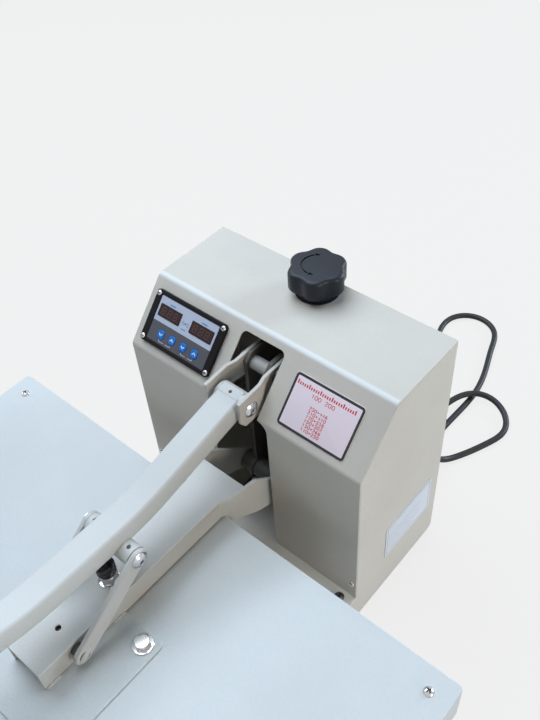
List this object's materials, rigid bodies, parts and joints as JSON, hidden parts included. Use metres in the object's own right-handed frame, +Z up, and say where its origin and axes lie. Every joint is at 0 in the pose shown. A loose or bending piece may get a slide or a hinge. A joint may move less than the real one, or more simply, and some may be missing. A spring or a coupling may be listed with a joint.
{
  "type": "flat heat press",
  "caption": "Clamshell heat press: a toggle lever swings a flat heated platen up from a padded lower platen in front of a sheet-metal tower with a controller and a pressure knob.",
  "frame": {"origin": "on the table, under the middle of the box of the press with its platen closed and without its mains lead", "axes": "+X across the press to the right as seen from the front, +Y towards the back, +Z up"},
  "size_m": [0.606, 1.0569, 0.356],
  "materials": {
    "body_paint": "fine-textured powder coat, warm light grey",
    "platen_paint": "fine-textured powder coat, light grey",
    "arm_paint": "powder coat, light grey",
    "inner_steel": "plain machined steel",
    "bright_steel": "bright zinc plate",
    "dark_steel": "black oxide",
    "black_rubber": "matt black rubber",
    "grip_rubber": "matt black foam rubber",
    "black_plastic": "satin black",
    "red_plastic": "gloss red",
    "overlay_film": "matt printed film",
    "display_red": "smoked red window",
    "key_blue": "gloss blue",
    "label_film": "bare printed film",
    "plate_aluminium": "plain milled",
    "silicone": "matt silicone sponge",
    "insulation": "ceramic fibre board",
    "nut_brass": "plain turned"
  },
  "bodies": {
    "frame": {"base_deck": "body_paint", "side_plate_left": "body_paint", "side_plate_right": "body_paint", "rubber_feet": "black_rubber", "deck_bolts": "dark_steel", "tower_cover": "body_paint", "back_panel": "body_paint", "panel_screws": "bright_steel", "upright_left": "inner_steel", "upright_right": "inner_steel", "frame_bolts": "inner_steel", "arm_shaft": "inner_steel", "rocker_shaft": "inner_steel", "shaft_spacers": "inner_steel", "spindle_bush": "black_plastic", "controller_bezel": "black_plastic", "controller_overlay": "overlay_film", "display_windows": "display_red", "slope_label": "label_film", "rating_plate": "label_film", "switch_frame": "black_plastic", "lower_platen": "plate_aluminium", "platen_risers": "inner_steel", "silicone_pad": "silicone", "cable_gland": "black_plastic", "mains_lead": "black_rubber", "cord_coil": "black_rubber", "mains_plug": "black_plastic"},
    "arm": {"arm_channel": "arm_paint", "ear_left": "arm_paint", "ear_right": "arm_paint", "mounting_plate": "arm_paint", "mount_bolts": "bright_steel", "mount_washers": "bright_steel", "platen_cover": "platen_paint", "cover_posts": "inner_steel", "cover_screws": "bright_steel", "insulation_board": "insulation", "heating_plate": "plate_aluminium", "bumper_stud": "bright_steel", "bumper_rubber": "black_rubber"},
    "link": {"link_left": "arm_paint", "link_right": "arm_paint", "link_pin": "arm_paint", "link_bolts": "bright_steel"},
    "lever": {"lever_tube": "arm_paint", "lever_bush": "arm_paint", "link_boss": "arm_paint", "hand_grip": "grip_rubber"},
    "rocker": {"rocker_plate_left": "arm_paint", "rocker_plate_right": "arm_paint", "pivot_bolts": "bright_steel"},
    "trunnion": {"trunnion_nut": "nut_brass"},
    "knob": {"pressure_knob": "black_plastic", "knob_spindle": "inner_steel"},
    "key_down_1": {"key_1": "key_blue"},
    "key_up_1": {"key_2": "key_blue"},
    "key_down_2": {"key_3": "key_blue"},
    "key_up_2": {"key_4": "key_blue"},
    "power_rocker": {"switch_rocker": "red_plastic"}
  },
  "joints": [
    {"name": "arm_lift", "type": "hinge", "parent": "frame", "child": "arm", "pos_m": [0, 0.21489, 0.124], "axis": [-1, 0, 0], "range_deg": [0, 36]},
    {"name": "link_swing", "type": "hinge", "parent": "arm", "child": "link", "pos_m": [0, -0.06611, 0.178], "axis": [1, 0, 0], "range_deg": [0, 56.2]},
    {"name": "lever_swing", "type": "hinge", "parent": "link", "child": "lever", "pos_m": [0, 0.01289, 0.23501], "axis": [-1, 0, 0], "range_deg": [0, 87]},
    {"name": "knob_turn", "type": "hinge", "parent": "frame", "child": "knob", "pos_m": [0, 0.31189, 0.336], "axis": [0, 0, 1], "range_deg": [-720, 720]},
    {"name": "rocker_tilt", "type": "hinge", "parent": "frame", "child": "rocker", "pos_m": [0, 0.22289, 0.286], "axis": [1, 0, 0], "range_deg": [-2.6, 2.6]},
    {"name": "trunnion_roll", "type": "hinge", "parent": "rocker", "child": "trunnion", "pos_m": [0, 0.31189, 0.286], "axis": [1, 0, 0], "range_deg": [-2.6, 2.6]},
    {"name": "key_down_1_press", "type": "slide", "parent": "frame", "child": "key_down_1", "axis": [0, 0.7488, -0.6628], "range_m": [0, 0.0006], "stiffness_N_per_m": 1500},
    {"name": "key_up_1_press", "type": "slide", "parent": "frame", "child": "key_up_1", "axis": [0, 0.7488, -0.6628], "range_m": [0, 0.0006], "stiffness_N_per_m": 1500},
    {"name": "key_down_2_press", "type": "slide", "parent": "frame", "child": "key_down_2", "axis": [0, 0.7488, -0.6628], "range_m": [0, 0.0006], "stiffness_N_per_m": 1500},
    {"name": "key_up_2_press", "type": "slide", "parent": "frame", "child": "key_up_2", "axis": [0, 0.7488, -0.6628], "range_m": [0, 0.0006], "stiffness_N_per_m": 1500},
    {"name": "power_switch", "type": "hinge", "parent": "frame", "child": "power_rocker", "pos_m": [-0.09, 0.33289, 0.1], "axis": [-1, 0, 0], "range_deg": [0, 14]}
  ],
  "couplings": [
    {"joint": "link_swing", "follows": "arm_lift", "ratio": 1.5588},
    {"joint": "lever_swing", "follows": "arm_lift", "ratio": 2.4131},
    {"joint": "rocker_tilt", "follows": "knob_turn", "ratio": -0.0035765},
    {"joint": "trunnion_roll", "follows": "knob_turn", "ratio": 0.0035765}
  ]
}
